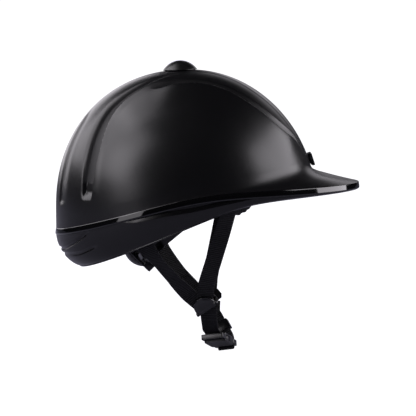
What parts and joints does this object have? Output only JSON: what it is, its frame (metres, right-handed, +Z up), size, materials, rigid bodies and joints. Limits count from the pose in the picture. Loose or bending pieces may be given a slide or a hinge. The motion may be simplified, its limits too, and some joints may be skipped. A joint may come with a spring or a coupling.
{
  "type": "riding helmet",
  "caption": "Black riding helmet with a moulded peak, glossy edge trim, swept channels, a crown button, a bare badge, a strap harness with clamping dividers and a dial-adjusted rear cradle",
  "frame": {"origin": "centre of the head opening, on the brow plane", "axes": "+X forward towards the peak, +Y towards the wearer's left, +Z up, right-handed, metres"},
  "size_m": [0.3186, 0.2256, 0.3101],
  "materials": {
    "shell_satin": "satin black moulded shell",
    "trim_gloss": "high-gloss black edge strip",
    "lower_gloss": "semi-gloss black moulded shell",
    "liner_foam": "dark grey expanded bead foam",
    "badge_gloss": "gloss black, bare",
    "pad_fabric": "black knitted lining over soft foam",
    "webbing": "black ribbed webbing",
    "hard_plastic": "fine-grained black plastic",
    "nylon": "natural nylon",
    "steel": "plain steel"
  },
  "bodies": {
    "helmet": {"outer_shell": "shell_satin", "edge_trim": "trim_gloss", "lower_shell": "lower_gloss", "eps_liner": "liner_foam", "crown_button": "shell_satin", "button_stud": "steel", "front_badge": "badge_gloss", "brow_pad": "pad_fabric", "crown_pad": "pad_fabric", "side_pad_left": "pad_fabric", "side_pad_right": "pad_fabric", "front_anchor_left": "hard_plastic", "front_anchor_right": "hard_plastic", "rear_anchor_left": "hard_plastic", "rear_anchor_right": "hard_plastic", "front_strap_left": "webbing", "front_strap_right": "webbing", "rear_strap_left": "webbing", "rear_strap_right": "webbing", "divider_base_left": "hard_plastic", "divider_base_right": "hard_plastic", "lever_pin_left": "steel", "lever_pin_right": "steel", "chin_strap_left": "webbing", "chin_strap_right": "webbing", "strap_keeper": "hard_plastic", "buckle_socket": "hard_plastic", "band_pins": "steel"},
    "cradle": {"cradle": "hard_plastic", "cradle_pad": "pad_fabric", "dial_housing": "hard_plastic", "band_left": "hard_plastic", "band_right": "hard_plastic"},
    "dial": {"dial_knob": "hard_plastic", "dial_pinion": "nylon", "dial_screw": "steel"},
    "lever_left": {"divider_lever_left": "hard_plastic"},
    "lever_right": {"divider_lever_right": "hard_plastic"},
    "tongue": {"buckle_tongue": "hard_plastic"},
    "arm_front": {"buckle_arm_front": "hard_plastic"},
    "arm_rear": {"buckle_arm_rear": "hard_plastic"}
  },
  "joints": [
    {"name": "cradle_slide", "type": "slide", "parent": "helmet", "child": "cradle", "axis": [1, 0, 0], "range_m": [-0.015, 0.005], "deforming": ["band_left", "band_right"]},
    {"name": "dial_turn", "type": "hinge", "parent": "cradle", "child": "dial", "pos_m": [-0.0515, 0, -0.0525], "axis": [-0.7071, 0, -0.7071], "range_deg": [-57.3, 171.9]},
    {"name": "lever_left_turn", "type": "hinge", "parent": "helmet", "child": "lever_left", "pos_m": [0.02839, 0.05059, -0.11074], "axis": [-0.766, -0.2818, -0.5777], "range_deg": [0, 100]},
    {"name": "lever_right_turn", "type": "hinge", "parent": "helmet", "child": "lever_right", "pos_m": [0.02439, -0.05059, -0.10174], "axis": [0.766, -0.2818, 0.5777], "range_deg": [0, 100]},
    {"name": "buckle_pull", "type": "slide", "parent": "helmet", "child": "tongue", "axis": [0.3214, 0.883, -0.342], "range_m": [0, 0.022], "deforming": ["chin_strap_left", "buckle_arm_front", "buckle_arm_rear"]},
    {"name": "buckle_press_front", "type": "hinge", "parent": "tongue", "child": "arm_front", "pos_m": [0.047, 0.00856, -0.14715], "axis": [0.048, -0.3759, -0.9254], "range_deg": [0, 6.5], "stiffness_Nm_per_rad": 0.02},
    {"name": "buckle_press_rear", "type": "hinge", "parent": "tongue", "child": "arm_rear", "pos_m": [0.03565, 0.01193, -0.14911], "axis": [-0.048, 0.3759, 0.9254], "range_deg": [0, 6.5], "stiffness_Nm_per_rad": 0.02}
  ],
  "couplings": [
    {"joint": "dial_turn", "follows": "cradle_slide", "rad_per_m": -200},
    {"joint": "buckle_press_rear", "follows": "buckle_press_front", "ratio": 1}
  ]
}
